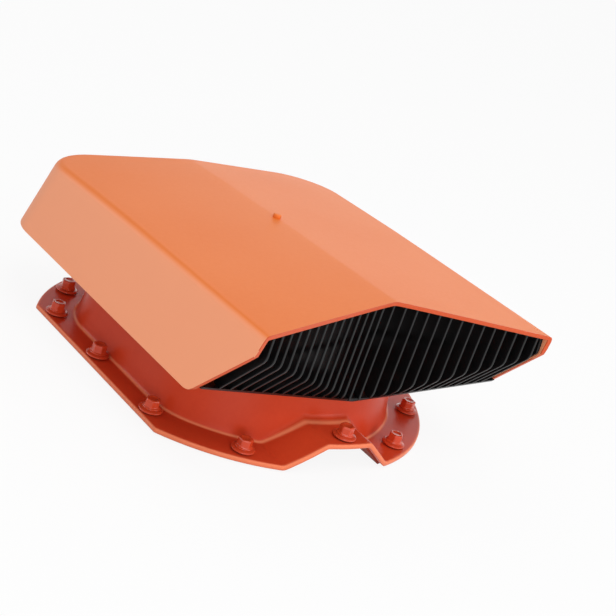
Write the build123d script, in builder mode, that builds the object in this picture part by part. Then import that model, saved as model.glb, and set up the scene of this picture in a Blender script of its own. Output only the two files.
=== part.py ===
from build123d import *
import os
from math import atan, cos, degrees, hypot, radians, sin, tan

os.makedirs("parts", exist_ok=True)

# Lengths in mm and angles in degrees
# The origin is the throat's axis on the gasket's underside, +Z points up, and the mouth faces -Y

# Throat, a tapered collar with one flat side
throat_radius = 102.0
throat_flat_x = 15.0 - throat_radius
throat_corner = 45.0
throat_wall = 3.0
throat_height = 60.0
throat_draft = 11.0

# Flange, bent over one rib of the roof sheet
flange_radius = throat_radius + 23.0
flange_cut_x = throat_flat_x - 15.0
flange_t = 3.0
flange_corner = 2.0
crest_x = -5.0
crest_foot_half = 37.5
crest_top_half = 16.0
crest_rise = 16.5

# Gasket strip under the flange
gasket_t = 1.2
gasket_inset = 5.0
gasket_throat_gap = 1.0

# Lugs inside the throat's top rim, under the hood's posts
lug_angles = [45.0, 135.0, 225.0, 315.0]
lug_inset = 21.0
lug_width = 14.0
lug_t = 4.0

# Roofing screws with a washer and a seal each
screw_ring = throat_radius + 13.5
ring_angles = [-121.0, -63.0, -35.0, -3.0, 27.0, 58.0, 128.0]
strip_x = throat_flat_x - 7.5
strip_y = [60.5, 8.0, -54.5]
crest_screw_out = 14.5
shank_r = 2.4
shank_hole_r = 2.75
seal_r = 5.4
seal_t = 1.0
washer_r = 7.0
washer_sides = 16
washer_t = 1.6
washer_dish = 0.7
head_flats = 8.0
head_h = 4.4
head_flange_r = 5.2
head_flange_t = 1.0
head_chamfer = 0.6
shank_sides = 12

# Hood, wider than the throat, heights taken above the flange's top face
hood_half = throat_radius + 6.0
hood_flare = 6.0
hood_wall = 2.5
hood_low = 41.3
hood_rear_y = throat_radius + 16.8
hood_rear_top_in = 13.8
hood_rear_top_z = 88.5
hood_corner = 32.0
hood_top_round = 4.5
hood_front_top_z = 94.0
mouth_low_y = -0.8 - throat_radius
mouth_kink_y = mouth_low_y - 34.9
mouth_kink_z = 81.3
mouth_corner_y = mouth_low_y - 37.6
mouth_peak_y = mouth_low_y - 8.8
mouth_peak_round = 20.0
mouth_low_round = 12.0
nub_y = 3.5
nub_r = 2.6
nub_h = 2.6

# Roof of the hood: stations along Y, with the crease's height and the ridge's height
roof_stations = [
    (mouth_corner_y - 24.6, 94.4, 103.4),
    (5.0, 91.8, 97.4),
    (hood_rear_y - 43.8, 89.3, 94.5),
    (hood_rear_y + 17.2, 84.0, 89.8),
]

# Posts that hang from the hood and their screws
post_r = 5.0
pilot_r = 1.75
pilot_spare = 2.0
hood_screw_hole_r = 2.1
hood_screw_grip = 10.0
hood_screw_head_r = 3.8
hood_screw_head_h = 2.6

# Grille insert in the hood's mouth
ribs_per_side = 14
rib_side_gap = 8.37
rib_t = 1.5
rib_depth = 11.0
grille_corner_y = mouth_corner_y + 1.4
grille_centre_y = mouth_peak_y + 3.1
grille_bend_z = 81.5
grille_low_z = 35.0
grille_low_corner_z = 45.8
grille_bend_round = 8.0
grille_throat_gap = 0.6
grille_border_w = 1.8
grille_border_back = 3.0
grille_rail_h = 2.0
cross_bar_t = 2.2
cross_bar_h = 2.4
cross_bar_count = 2

# Levels and reaches that follow from the values above
slack = 0.5
flange_top = gasket_t + flange_t
reach = 2 * flange_radius
sky = flange_top + 2 * hood_front_top_z
flank_angle = atan(crest_rise / (crest_foot_half - crest_top_half))
throat_top = flange_top + throat_height
rim_radius = throat_radius - throat_height * tan(radians(throat_draft)) - throat_wall / 2
hood_low_half = hood_half + hood_flare
rear_lean = hood_rear_top_in / (hood_rear_top_z - hood_low)
side_lean = hood_flare / (hood_front_top_z - hood_low)
lug_radius = throat_radius - lug_inset
rib_pitch = (hood_half - rib_side_gap) / (ribs_per_side - 1 / 2)
rib_first = rib_pitch / 2
mouth_tilt = atan((mouth_kink_y - mouth_corner_y) / (hood_front_top_z - mouth_kink_z))
side_rake = (mouth_kink_z - hood_low) / (mouth_low_y - mouth_kink_y)


# The sheet's bent line, at a depth below the flange's top face
def sheet_line(depth):
    shift = depth * tan(flank_angle / 2)
    foot = crest_foot_half - shift
    top = crest_top_half - shift
    pan = flange_top - depth
    return [
        (-reach, pan),
        (crest_x - foot, pan),
        (crest_x - top, pan + crest_rise),
        (crest_x + top, pan + crest_rise),
        (crest_x + foot, pan),
        (reach, pan),
    ]


# A bent layer between two depths, running along Y
def bent_layer(upper, lower):
    with BuildPart() as layer:
        with BuildSketch(Plane.XZ):
            Polygon(*sheet_line(upper), *reversed(sheet_line(lower)), align=None)
        extrude(amount=reach, both=True)
    return layer.part


# The flange's outline, a disc cut straight along one side
def disc_outline(radius, cut_x, corner):
    with BuildSketch() as outline:
        Circle(radius)
        with Locations((cut_x - radius, 0)):
            Rectangle(2 * radius, 3 * radius, mode=Mode.SUBTRACT)
        fillet(outline.vertices(), corner)
    return outline.sketch


# The throat's form between two heights, drawn in from its outer skin
def throat_form(low, high, inset):
    drop = (flange_top - low) * tan(radians(throat_draft)) - inset
    with BuildPart() as form:
        with BuildSketch(Plane.XY.offset(low)):
            add(disc_outline(throat_radius + drop, throat_flat_x - drop, throat_corner + drop))
        extrude(amount=high - low, taper=throat_draft)
    return form.part


# One face of a washer or screw: a ring of straight sides, with or without a bore
def ring(radius, sides, bore):
    with BuildSketch() as face:
        RegularPolygon(radius, sides)
        if bore > 0:
            RegularPolygon(bore, shank_sides, mode=Mode.SUBTRACT)
    return face.sketch


# A straight-sided peg from the middle of its foot, for screw holes and shanks
def peg(radius, height):
    with BuildPart() as form:
        add(ring(radius, shank_sides, 0))
        extrude(amount=height)
    return form.part


# Places of the roofing screws, on the face that each one clamps
screw_places = [(screw_ring * cos(radians(a)), screw_ring * sin(radians(a)), flange_top) for a in ring_angles]
screw_places += [(strip_x, y, flange_top) for y in strip_y]
crest_screw_y = throat_radius + crest_screw_out
screw_places += [(crest_x, y, flange_top + crest_rise) for y in (-crest_screw_y, crest_screw_y)]

# Places of the hood's screws, on the lugs' top face
lug_places = [(lug_radius * cos(radians(a)), lug_radius * sin(radians(a)), throat_top) for a in lug_angles]

# Base moulding: bent flange, throat and lugs
with BuildPart() as base:
    add(bent_layer(0, flange_t))
    with BuildSketch():
        add(disc_outline(flange_radius, flange_cut_x, flange_corner))
    extrude(amount=sky, mode=Mode.INTERSECT)
    add(throat_form(flange_top - flange_t, throat_top, 0))
    add(throat_form(0, throat_top, throat_wall), mode=Mode.SUBTRACT)
    add(bent_layer(flange_t, flange_t + reach), mode=Mode.SUBTRACT)
    for angle, place in zip(lug_angles, lug_places):
        with BuildSketch(Plane(place, z_dir=(0, 0, 1)).rotated((0, 0, angle))):
            with Locations((-lug_width / 2, 0)):
                Rectangle(rim_radius - lug_radius + lug_width / 2, lug_width, align=(Align.MIN, Align.CENTER))
        extrude(amount=-lug_t)
    with Locations(*lug_places):
        add(peg(hood_screw_hole_r, -lug_t), mode=Mode.SUBTRACT)
    with Locations(*screw_places):
        add(peg(shank_hole_r, -flange_t), mode=Mode.SUBTRACT)

# The space that the throat stands in, and the band that the crest lies in
with BuildPart() as throat_space:
    with BuildSketch():
        add(disc_outline(throat_radius, throat_flat_x, throat_corner))
    extrude(amount=sky)

with BuildPart() as crest_band:
    with Locations((crest_x, 0, 0)):
        Box(2 * crest_foot_half, 2 * reach, 2 * sky)

# The base as three nodes that meet without a gap: throat, crest and flange
with BuildPart() as throat:
    add(base.part)
    add(throat_space.part, mode=Mode.INTERSECT)
throat.part.label = "throat"
export_step(throat.part, "parts/throat.step")

with BuildPart() as crest:
    add(base.part)
    add(throat_space.part, mode=Mode.SUBTRACT)
    add(crest_band.part, mode=Mode.INTERSECT)
crest.part.label = "crest"
export_step(crest.part, "parts/crest.step")

with BuildPart() as flange:
    add(base.part)
    add(throat_space.part, mode=Mode.SUBTRACT)
    add(crest_band.part, mode=Mode.SUBTRACT)
flange.part.label = "flange"
export_step(flange.part, "parts/flange.step")

# Gasket: the sheet's line again, as a ring that stops short of the rim
with BuildPart() as gasket:
    add(bent_layer(flange_t, flange_t + gasket_t))
    with BuildSketch():
        add(disc_outline(flange_radius - gasket_inset, flange_cut_x + gasket_inset, flange_corner))
        inner_r = throat_radius + gasket_throat_gap
        inner_flat = throat_flat_x - gasket_throat_gap
        add(disc_outline(inner_r, inner_flat, throat_corner + gasket_throat_gap), mode=Mode.SUBTRACT)
    extrude(amount=sky, mode=Mode.INTERSECT)
gasket.part.label = "gasket"
export_step(gasket.part, "parts/gasket.step")


# Roofing screw washers: a rubber seal bonded under a dished steel disc
with BuildPart() as one_washer:
    add(ring(seal_r, washer_sides, shank_hole_r))
    extrude(amount=seal_t)
    with BuildSketch(Plane.XY.offset(seal_t)):
        add(ring(washer_r, washer_sides, shank_hole_r))
    extrude(amount=washer_t - washer_dish)
    with BuildSketch(Plane.XY.offset(seal_t + washer_t - washer_dish)):
        add(ring(washer_r, washer_sides, 0))
    with BuildSketch(Plane.XY.offset(seal_t + washer_t)):
        add(ring(head_flange_r, washer_sides, 0))
    loft()
    add(peg(shank_hole_r, 2 * washer_r), mode=Mode.SUBTRACT)

with BuildPart() as screw_washers:
    with Locations(*screw_places):
        add(one_washer.part)
screw_washers.part.label = "screw_washers"
export_step(screw_washers.part, "parts/screw_washers.step")

# One roofing screw: shank down to the flange's underside, round flange and hex head
grip = seal_t + washer_t
with BuildPart() as one_screw:
    with BuildSketch(Plane.XY.offset(-flange_t)):
        add(ring(shank_r, shank_sides, 0))
    extrude(amount=flange_t + grip)
    with BuildSketch(Plane.XY.offset(grip)):
        add(ring(head_flange_r, washer_sides, 0))
    extrude(amount=head_flange_t)
    with BuildSketch(Plane.XY.offset(grip + head_flange_t)):
        RegularPolygon(head_flats / 2, 6, major_radius=False)
    extrude(amount=head_h)
    chamfer(one_screw.faces().sort_by(Axis.Z)[-1].edges(), head_chamfer)

with BuildPart() as flange_screws:
    with Locations(*screw_places):
        add(one_screw.part)
flange_screws.part.label = "flange_screws"
export_step(flange_screws.part, "parts/flange_screws.step")


# The hood's plan with its leaning rear wall, drawn in from its outer skin
def hood_plan(inset):
    with BuildPart() as form:
        for level in (0, sky):
            rise = level - flange_top - hood_low
            rear = hood_rear_y - rear_lean * rise - inset * hypot(1, rear_lean)
            half = hood_low_half - side_lean * rise - inset * hypot(1, side_lean)
            with BuildSketch(Plane.XY.offset(level)) as outline:
                with Locations((0, rear)):
                    Rectangle(2 * half, 2 * reach, align=(Align.CENTER, Align.MAX))
                fillet(outline.vertices().group_by(Axis.Y)[-1], hood_corner - inset)
        loft()
    return form.part


# The hood's whole form under its ridged roof, drawn in from its outer skin
def hood_form(inset, top_round):
    half = hood_low_half + hood_wall
    front = roof_stations[0][0]
    with BuildPart() as form:
        for y, crease, ridge in roof_stations:
            top = flange_top - inset + ridge
            eave = top - (ridge - crease) * half / hood_half
            with BuildSketch(Plane.XZ.offset(-y)):
                Polygon((-half, 0), (half, 0), (half, eave), (0, top), (-half, eave), align=None)
        loft(ruled=True)
        add(hood_plan(inset), mode=Mode.INTERSECT)
        if top_round > 0:
            low = flange_top + hood_rear_top_z - 2 * hood_top_round
            tops = form.edges().filter_by(lambda e: min((e @ 0).Z, (e @ 1).Z) > low and (e @ 0.5).Y > front + 1)
            fillet(tops.filter_by(lambda e: max(abs((e @ 0).X), abs((e @ 1).X)) > 1), top_round)
    return form.part


# The space behind the hood's swept front edge and above its raked cheeks
def behind_mouth():
    half = hood_low_half + hood_wall
    sweep = (mouth_peak_y - mouth_corner_y) / hood_half
    corner = (mouth_corner_y - sweep * (half - hood_half)) * cos(mouth_tilt)
    peak = mouth_peak_y * cos(mouth_tilt)
    level = flange_top + hood_front_top_z
    leaning = Plane((0, 0, level), x_dir=(1, 0, 0), z_dir=(0, -sin(mouth_tilt), cos(mouth_tilt)))
    low = flange_top + hood_low
    with BuildPart() as space:
        with BuildSketch(leaning) as front:
            Polygon((-half, corner), (0, peak), (half, corner), (half, reach), (-half, reach), align=None)
            fillet(front.vertices().filter_by(lambda v: abs(v.X) < slack), mouth_peak_round)
        extrude(amount=reach, both=True)
        with BuildSketch(Plane.YZ) as cheek:
            Polygon(
                (mouth_low_y, low),
                (reach, low),
                (reach, sky),
                (mouth_low_y - (sky - low) / side_rake, sky),
                align=None,
            )
            fillet(cheek.vertices().group_by(Axis.Y)[0].sort_by(Axis.X)[0], mouth_low_round)
        extrude(amount=reach, both=True, mode=Mode.INTERSECT)
    return space.part


# Hood moulding: shell, swept mouth, nub and posts
hood_outside = hood_form(0, hood_top_round)
hood_inside = hood_form(hood_wall, 0)
ridge_top = flange_top + roof_stations[1][2]
with BuildPart() as nub:
    with Locations((0, nub_y, ridge_top)):
        Cylinder(nub_r, 2 * nub_h)
    chamfer(nub.faces().sort_by(Axis.Z)[-1].edges(), nub_r / 4)

with BuildPart() as posts:
    for x, y, z in lug_places:
        with BuildSketch(Plane.XY.offset(z)):
            with Locations((x, y)):
                RegularPolygon(post_r, washer_sides)
        extrude(amount=sky)
    add(hood_form(hood_wall / 2, 0), mode=Mode.INTERSECT)

with BuildPart() as hood:
    add(hood_outside)
    add(hood_inside, mode=Mode.SUBTRACT)
    add(behind_mouth(), mode=Mode.INTERSECT)
    add(nub.part)
    add(posts.part)
    with Locations(*lug_places):
        add(peg(pilot_r, hood_screw_grip + pilot_spare), mode=Mode.SUBTRACT)
hood.part.label = "hood"
export_step(hood.part, "parts/hood.step")

# Screws that hold the hood, driven up through the lugs
with BuildPart() as hood_screws:
    for x, y, z in lug_places:
        with BuildSketch(Plane.XY.offset(z - lug_t)):
            with Locations((x, y)):
                add(ring(hood_screw_head_r, washer_sides, 0))
        extrude(amount=-hood_screw_head_h)
        with Locations((x, y, z - lug_t)):
            add(peg(pilot_r, lug_t + hood_screw_grip))
hood_screws.part.label = "hood_screws"
export_step(hood_screws.part, "parts/hood_screws.step")


# True for an edge that climbs from the middle of the mouth towards a corner
def on_bend(edge):
    run = edge @ 1 - edge @ 0
    return abs(run.X) > 1 and abs(run.Z) > 1


# The space behind the grille's face and above its raked underside, set back by a depth
def behind_grille(depth):
    foot = (0, grille_centre_y, flange_top + grille_low_z)
    along = Vector(hood_half, 0, grille_low_corner_z - grille_low_z)
    up = Vector(hood_half, grille_corner_y - grille_centre_y, grille_bend_z - grille_low_z)
    out = along.cross(up)
    half = hood_low_half
    corner = grille_centre_y + (grille_corner_y - grille_centre_y) * half / hood_half
    with BuildPart() as space:
        with BuildSketch():
            Polygon(
                (-half, corner + depth),
                (0, grille_centre_y + depth),
                (half, corner + depth),
                (half, 0),
                (-half, 0),
                align=None,
            )
        extrude(amount=sky)
        for side in (1, -1):
            face = Plane(foot, x_dir=(along.X, 0, side * along.Z), z_dir=(side * out.X, out.Y, out.Z))
            with BuildSketch(face.offset(-depth)):
                Rectangle(4 * reach, 4 * reach)
            extrude(amount=-2 * reach, mode=Mode.INTERSECT)
        fillet(space.edges().filter_by(on_bend), grille_bend_round)
    return space.part


# The space above the grille's lower edge, which rises from the middle to the cheeks, raised by a lift
def over_edge(lift):
    middle = flange_top + grille_low_z + lift
    corner = middle + (grille_low_corner_z - grille_low_z) * reach / hood_half
    with BuildPart() as space:
        with BuildSketch(Plane.XZ):
            Polygon((-reach, corner), (0, middle), (reach, corner), (reach, 2 * sky), (-reach, 2 * sky), align=None)
        extrude(amount=reach, both=True)
    return space.part


# Grille insert: ribs, border, bottom rail and rear cross bars
grille_low = flange_top + grille_low_z
bar_step = (hood_front_top_z - grille_low_z) / (cross_bar_count + 1)
bar_levels = [grille_low + bar_step * (k + 1) for k in range(cross_bar_count)]
rib_xs = [side * (rib_first + k * rib_pitch) for side in (-1, 1) for k in range(ribs_per_side)]
with BuildPart() as grille_skin:
    add(behind_grille(0))
    add(behind_grille(rib_depth), mode=Mode.SUBTRACT)
    add(over_edge(0), mode=Mode.INTERSECT)
    add(hood_inside, mode=Mode.INTERSECT)

with BuildPart() as grille_rail:
    add(grille_skin.part)
    add(over_edge(grille_rail_h), mode=Mode.SUBTRACT)

with BuildPart() as grille_border:
    add(grille_skin.part)
    add(behind_grille(grille_border_back), mode=Mode.INTERSECT)
    add(hood_form(hood_wall + grille_border_w, 0), mode=Mode.SUBTRACT)

with BuildPart() as grille_bars:
    with Locations(*[(0, 0, level) for level in bar_levels]):
        Box(2 * reach, 2 * reach, cross_bar_h)
    add(behind_grille(rib_depth - cross_bar_t), mode=Mode.INTERSECT)
    add(behind_grille(rib_depth), mode=Mode.SUBTRACT)
    add(hood_inside, mode=Mode.INTERSECT)

with BuildPart() as grille:
    with Locations(*[(x, 0, 0) for x in rib_xs]):
        Box(rib_t, 2 * reach, 2 * sky)
    add(grille_skin.part, mode=Mode.INTERSECT)
    add(grille_rail.part)
    add(grille_border.part)
    add(grille_bars.part)
    add(throat_form(flange_top, throat_top, -grille_throat_gap), mode=Mode.SUBTRACT)
grille.part.label = "grille"
export_step(grille.part, "parts/grille.step")
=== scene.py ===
"""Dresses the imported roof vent: ridged hood, throat on a bent flange, ribbed grille and roofing screws.

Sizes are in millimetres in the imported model's frame, +Z up from the roof sheet and -Y towards the grille.
Meshes are written in metres.
"""

import logging
import math
from dataclasses import dataclass
from enum import Enum
from typing import Callable, Sequence

import bmesh
import bpy
from mathutils import Matrix, Vector


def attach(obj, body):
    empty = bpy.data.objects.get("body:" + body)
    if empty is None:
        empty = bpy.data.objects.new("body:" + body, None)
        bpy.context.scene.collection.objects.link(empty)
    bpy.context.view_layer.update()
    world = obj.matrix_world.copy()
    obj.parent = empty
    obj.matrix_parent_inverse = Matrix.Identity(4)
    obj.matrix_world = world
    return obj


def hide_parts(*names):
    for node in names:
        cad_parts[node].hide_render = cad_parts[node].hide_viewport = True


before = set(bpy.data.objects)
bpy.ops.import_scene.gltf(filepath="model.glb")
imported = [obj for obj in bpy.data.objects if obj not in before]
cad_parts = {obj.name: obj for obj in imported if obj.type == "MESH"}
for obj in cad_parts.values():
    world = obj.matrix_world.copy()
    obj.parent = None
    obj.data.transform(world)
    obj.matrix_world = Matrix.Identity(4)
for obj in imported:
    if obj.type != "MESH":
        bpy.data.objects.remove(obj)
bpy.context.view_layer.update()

log = logging.getLogger("roof_vent")

MM = 0.001
Colour = tuple[float, float, float]
Point = tuple[float, float, float]
Line = list[Point]
Spec = tuple[str, float, int]
Held = tuple[float, float, float]

# Colour sockets of the Mix node, which shares their names with its number and vector sockets
MIX_FIRST, MIX_SECOND, MIX_RESULT = 6, 7, 2
# Least angle of an edge that is rounded, in degrees, and the faces across the rounding
SHARP_ANGLE, SHARP_STEPS = 50.0, 3
# Directions of the posts, the lugs and the screws between them
DIAGONALS = tuple(math.pi / 4 + math.pi / 2 * k for k in range(4))


class Maths(Enum):
    """Operations of the Math node that the expressions use."""

    ADD = "ADD"
    SUBTRACT = "SUBTRACT"
    MULTIPLY = "MULTIPLY"
    DIVIDE = "DIVIDE"
    ABSOLUTE = "ABSOLUTE"
    GREATER = "GREATER_THAN"
    MAXIMUM = "MAXIMUM"


class Board:
    """A node tree that is wired with plain Python values and expressions."""

    def __init__(self, tree: bpy.types.NodeTree) -> None:
        """Wraps a node tree.

        Args:
            tree: The tree that new nodes go into.
        """
        self.tree = tree

    def node(self, kind: str, values: dict | None = None, **settings: object) -> bpy.types.Node:
        """Adds one node.

        Args:
            kind: The node's type, such as ShaderNodeMath.
            values: Numbers, sockets or expressions for inputs, by name or index.
            settings: Properties of the node, set before its inputs.

        Returns:
            The new node.
        """
        made = self.tree.nodes.new(kind)
        for key, value in settings.items():
            setattr(made, key, value)
        for key, value in (values or {}).items():
            self.feed(made.inputs[key], value)
        return made

    def feed(self, socket: bpy.types.NodeSocket, value: object) -> None:
        """Links or sets one input.

        Args:
            socket: The input.
            value: An expression, a socket, or a plain value.
        """
        if isinstance(value, Wire):
            self.tree.links.new(value.socket, socket)
        elif isinstance(value, bpy.types.NodeSocket):
            self.tree.links.new(value, socket)
        else:
            socket.default_value = value

    def wire(self, socket: bpy.types.NodeSocket) -> "Wire":
        """Returns the socket as a term of an expression."""
        return Wire(self, socket)

    def maths(self, operation: Maths, *terms: object) -> "Wire":
        """Adds a Math node.

        Args:
            operation: What the node works out.
            terms: Its inputs, in order.

        Returns:
            The result, as a term.
        """
        made = self.node("ShaderNodeMath", dict(enumerate(terms)), operation=operation.value)
        return self.wire(made.outputs[0])


class Wire:
    """A number socket with the operators of plain arithmetic."""

    def __init__(self, board: Board, socket: bpy.types.NodeSocket) -> None:
        """Wraps a socket of a board."""
        self.board = board
        self.socket = socket

    def __add__(self, other: object) -> "Wire":
        """Returns self + other."""
        return self.board.maths(Maths.ADD, self, other)

    def __sub__(self, other: object) -> "Wire":
        """Returns self - other."""
        return self.board.maths(Maths.SUBTRACT, self, other)

    def __rsub__(self, other: object) -> "Wire":
        """Returns other - self."""
        return self.board.maths(Maths.SUBTRACT, other, self)

    def __mul__(self, other: object) -> "Wire":
        """Returns self * other."""
        return self.board.maths(Maths.MULTIPLY, self, other)

    def __truediv__(self, other: object) -> "Wire":
        """Returns self / other."""
        return self.board.maths(Maths.DIVIDE, self, other)


def wired(made: bpy.types.Material | bpy.types.World) -> Board:
    """Clears the nodes of a new material or world and returns the board for its own ones."""
    made.use_nodes = True
    made.node_tree.nodes.clear()
    return Board(made.node_tree)


def stand(name: str, data: bpy.types.ID) -> bpy.types.Object:
    """Puts a new object with its data in the scene, at the origin, and returns it."""
    made = bpy.data.objects.new(name, data)
    bpy.context.scene.collection.objects.link(made)
    return made


def metres(points: Sequence[Point]) -> Line:
    """Returns points in metres for points in millimetres."""
    return [tuple(v * MM for v in point) for point in points]


def softened(height: Callable[[float], float], at: float, reach: float) -> float:
    """Averages a height over places around one, which rounds its corners.

    Args:
        height: Gives the height at a place.
        at: The place in the middle.
        reach: How far the outermost places lie from it.

    Returns:
        The mean height.
    """
    spots = [at + reach * k / 3 for k in range(-3, 4)]
    return sum(height(spot) for spot in spots) / len(spots)


def between(first: Sequence[float], last: Sequence[float], share: float) -> tuple[float, ...]:
    """Returns the place at a share of the way from the first to the last."""
    return tuple(a + (b - a) * share for a, b in zip(first, last))


def parabola(first: Vector, corner: Vector, last: Vector, share: float) -> Point:
    """Returns a point of the curve that rounds a corner, at a share of the way along it."""
    return tuple(first * (1 - share) ** 2 + corner * (2 * share * (1 - share)) + last * share**2)


def rings(
    rows: Sequence[tuple[float, float]],
    sides: int,
    centre: Point = (0.0, 0.0, 0.0),
    shape: Callable[[float], float] = lambda turn: 1.0,
) -> list[Line]:
    """Lays rings of points round an upright axis.

    Args:
        rows: Pairs of a radius and a height, one for each ring.
        sides: Points in a ring.
        centre: The point that the heights start from.
        shape: Gives the factor on the radius in a direction.

    Returns:
        The rings, in the order of the rows.
    """
    turns = [2 * math.pi * k / sides for k in range(sides)]
    x, y, z = centre
    lines = []
    for r, h in rows:
        lines.append([(x + r * shape(t) * math.cos(t), y + r * shape(t) * math.sin(t), z + h) for t in turns])
    return lines


def srgb(red: int, green: int, blue: int) -> Colour:
    """Returns a display colour of 0 to 255 as linear light."""

    def linear(value: int) -> float:
        """Returns one channel as linear light."""
        part = value / 255
        return part / 12.92 if part <= 0.04045 else ((part + 0.055) / 1.055) ** 2.4

    return (linear(red), linear(green), linear(blue))


@dataclass(frozen=True)
class Finish:
    """A moulded, painted or turned surface: clouds of colour, fine specks and a grain that catches the light.

    Where the mesh has the float attribute that side names, the colour goes over to the side colour, which
    paints a sheen of light. Then, where it has the one that under names, the colour and the roughness go over
    to the under ones, which paint shade or a highlight, or give a real rubber seal its own colour.
    """

    name: str
    colour: Colour
    cloud: Colour
    roughness: float
    roughness_spread: float = 0.05
    cloud_scale: float = 14.0
    grain_scale: float = 1400.0
    grain_height: float = 0.00005
    grain_strength: float = 0.2
    metallic: float = 0.0
    coat: float = 0.0
    coat_roughness: float = 0.2
    specular: float = 0.5
    under: str = ""
    under_colour: Colour = (0.02, 0.02, 0.02)
    under_roughness: float = 0.8
    # The side attribute's colour is a painted sheen of light on the surfaces that it marks
    side: str = ""
    sheen_colour: Colour = (0.5, 0.5, 0.5)

    def build(self) -> bpy.types.Material:
        """Builds the material once and returns it."""
        known = bpy.data.materials.get(self.name)
        if known:
            return known
        material = bpy.data.materials.new(self.name)
        board = wired(material)
        place = board.node("ShaderNodeTexCoord").outputs["Object"]
        clouds = self._noise(board, place, self.cloud_scale, 3.0)
        specks = self._noise(board, place, self.grain_scale * 0.3, 2.0)
        grain = self._noise(board, place, self.grain_scale, 2.0)
        share = clouds * 0.8 + specks * 0.4 - 0.1
        colour = self._mix(board, share, (*self.colour, 1.0), (*self.cloud, 1.0))
        rough = (clouds + specks - 1.0) * self.roughness_spread + self.roughness
        # Painted sheen: the colour goes paler where the side attribute marks the mesh
        if self.side:
            pale = board.node("ShaderNodeAttribute", attribute_name=self.side).outputs["Fac"]
            colour = self._mix(board, pale, colour, (*self.sheen_colour, 1.0))
        # Painted shade or highlight where the under attribute marks the mesh; on the washers it is the seal's
        # own colour
        if self.under:
            mark = board.wire(board.node("ShaderNodeAttribute", attribute_name=self.under).outputs["Fac"])
            colour = self._mix(board, mark, colour, (*self.under_colour, 1.0))
            rough = rough * (1 - mark) + mark * self.under_roughness
        bump = board.node(
            "ShaderNodeBump",
            {"Strength": self.grain_strength, "Distance": self.grain_height, "Height": grain},
        )
        shader = board.node(
            "ShaderNodeBsdfPrincipled",
            {
                "Base Color": colour,
                "Roughness": rough,
                "Metallic": self.metallic,
                "Coat Weight": self.coat,
                "Coat Roughness": self.coat_roughness,
                "Specular IOR Level": self.specular,
                "Normal": bump.outputs["Normal"],
            },
        )
        board.node("ShaderNodeOutputMaterial", {"Surface": shader.outputs["BSDF"]})
        return material

    def _mix(self, board: Board, share: object, first: object, second: object) -> bpy.types.NodeSocket:
        """Mixes two colours.

        Args:
            board: The tree.
            share: How much of the second colour shows.
            first: The colour at 0.
            second: The colour at 1.

        Returns:
            The mixed colour's socket.
        """
        values = {"Factor": share, MIX_FIRST: first, MIX_SECOND: second}
        made = board.node("ShaderNodeMix", values, data_type="RGBA", clamp_factor=True)
        return made.outputs[MIX_RESULT]

    def _noise(self, board: Board, place: bpy.types.NodeSocket, scale: float, detail: float) -> Wire:
        """Adds a noise texture.

        Args:
            board: The tree.
            place: The coordinates to read.
            scale: Features per metre.
            detail: Octaves.

        Returns:
            Its value, from 0 to 1.
        """
        made = board.node("ShaderNodeTexNoise", {"Vector": place, "Scale": scale, "Detail": detail})
        return board.wire(made.outputs[0])

    def dress(self, thing: bpy.types.Object) -> None:
        """Puts the finish in every material slot of an object."""
        material = self.build()
        if not thing.material_slots:
            thing.data.materials.append(material)
        for slot in thing.material_slots:
            slot.material = material


HOOD_PLASTIC = Finish(
    "hood_plastic",
    srgb(228, 122, 52),
    srgb(222, 113, 45),
    0.5,
    specular=0.24,
    # Painted shade: the mouth's lip goes redder and darker where shade falls on it
    under="lip",
    under_colour=srgb(200, 80, 40),
    under_roughness=0.45,
    # Painted sheen: the upright walls go paler, as the light from the sides makes them
    side="side",
    sheen_colour=srgb(240, 158, 118),
)
BASE_PLASTIC = Finish(
    "base_plastic",
    srgb(208, 70, 38),
    srgb(194, 57, 29),
    0.3,
    specular=0.1,
    # Painted highlight: the flange's rim and the throat's foot go pale where the light catches them
    under="edge",
    under_colour=srgb(230, 128, 90),
    under_roughness=0.3,
)
BLACK_PLASTIC = Finish(
    "black_plastic", srgb(15, 15, 16), srgb(9, 9, 10), 0.38, specular=0.3, grain_scale=2200.0
)
FOAM_RUBBER = Finish("foam_rubber", srgb(156, 62, 42), srgb(134, 50, 32), 0.85, grain_height=0.0002)
PAINTED_HEAD = Finish("painted_head", srgb(206, 72, 38), srgb(186, 54, 27), 0.24, coat=0.15, specular=0.3)
PAINTED_WASHER = Finish(
    "painted_washer",
    srgb(202, 70, 38),
    srgb(182, 53, 27),
    0.28,
    coat=0.1,
    specular=0.3,
    under="seal",
    under_colour=srgb(28, 24, 24),
)
BRIGHT_STEEL = Finish("bright_steel", srgb(190, 190, 192), srgb(170, 170, 174), 0.32, metallic=1.0)


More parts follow.
